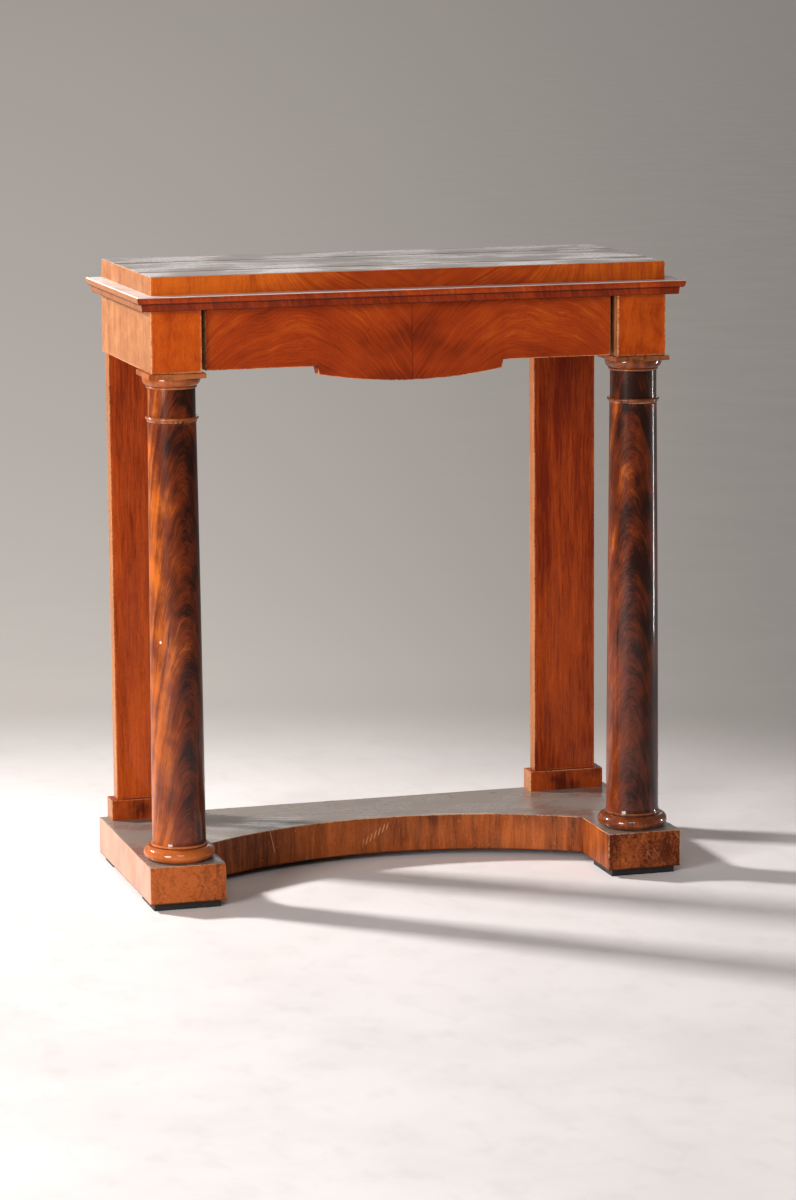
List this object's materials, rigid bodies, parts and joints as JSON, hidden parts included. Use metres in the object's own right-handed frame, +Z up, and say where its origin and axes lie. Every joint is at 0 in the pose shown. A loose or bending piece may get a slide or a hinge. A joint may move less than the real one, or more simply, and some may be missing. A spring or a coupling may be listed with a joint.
{
  "type": "pier table",
  "caption": "Pier table with turned front columns, flat rear pilasters, a concave-front platform, a stepped cornice and a frieze drawer whose front hangs in a lobe.",
  "frame": {"origin": "middle of the table's footprint at floor level", "axes": "+Z up, +X to the right as seen from the front, +Y to the wall side, so the drawer opens along -Y"},
  "size_m": [0.778, 0.34, 0.87],
  "materials": {
    "flame_mahogany": "polished",
    "flame_mahogany_dark": "polished",
    "turned_mahogany": "polished",
    "plain_mahogany": "satin",
    "base_mahogany": "worn polish",
    "pine": "bare, planed",
    "beech": "bare",
    "black_pad": "black stain",
    "iron_screw": "dull"
  },
  "bodies": {
    "table": {"back_rail": "pine", "base_cheek_left": "base_mahogany", "base_cheek_right": "base_mahogany", "base_dowels": "beech", "base_middle_board": "base_mahogany", "base_rear_rail": "base_mahogany", "column_abacus_left": "turned_mahogany", "column_abacus_right": "turned_mahogany", "column_base_left": "turned_mahogany", "column_base_right": "turned_mahogany", "column_capital_left": "turned_mahogany", "column_capital_right": "turned_mahogany", "column_neck_ring_left": "turned_mahogany", "column_neck_ring_right": "turned_mahogany", "column_shaft_left": "flame_mahogany_dark", "column_shaft_right": "flame_mahogany_dark", "corner_block_left": "flame_mahogany", "corner_block_right": "flame_mahogany", "cornice_front": "flame_mahogany", "cornice_left": "flame_mahogany", "cornice_right": "flame_mahogany", "drawer_guide_left": "pine", "drawer_guide_right": "pine", "drawer_runner_left": "pine", "drawer_runner_right": "pine", "drawer_stop_left": "pine", "drawer_stop_right": "pine", "foot_pad_front_left": "black_pad", "foot_pad_front_right": "black_pad", "foot_pad_rear_left": "black_pad", "foot_pad_rear_right": "black_pad", "frieze_board": "pine", "glue_blocks": "pine", "pilaster_left": "plain_mahogany", "pilaster_right": "plain_mahogany", "pilaster_shoe_left": "plain_mahogany", "pilaster_shoe_right": "plain_mahogany", "runner_screws_left": "iron_screw", "runner_screws_right": "iron_screw", "side_apron_left": "flame_mahogany", "side_apron_right": "flame_mahogany", "top_batten": "pine", "top_panel": "flame_mahogany", "top_rail_back": "pine", "top_rail_front": "flame_mahogany", "top_rail_left": "flame_mahogany", "top_rail_right": "flame_mahogany", "top_screws": "iron_screw"},
    "drawer": {"drawer_front": "flame_mahogany", "drawer_side_left": "pine", "drawer_side_right": "pine", "drawer_back": "pine", "drawer_bottom": "pine", "drawer_bottom_screws": "iron_screw"}
  },
  "joints": [
    {"name": "drawer_slide", "type": "slide", "parent": "table", "child": "drawer", "axis": [0, -1, 0], "range_m": [0, 0.17]}
  ]
}
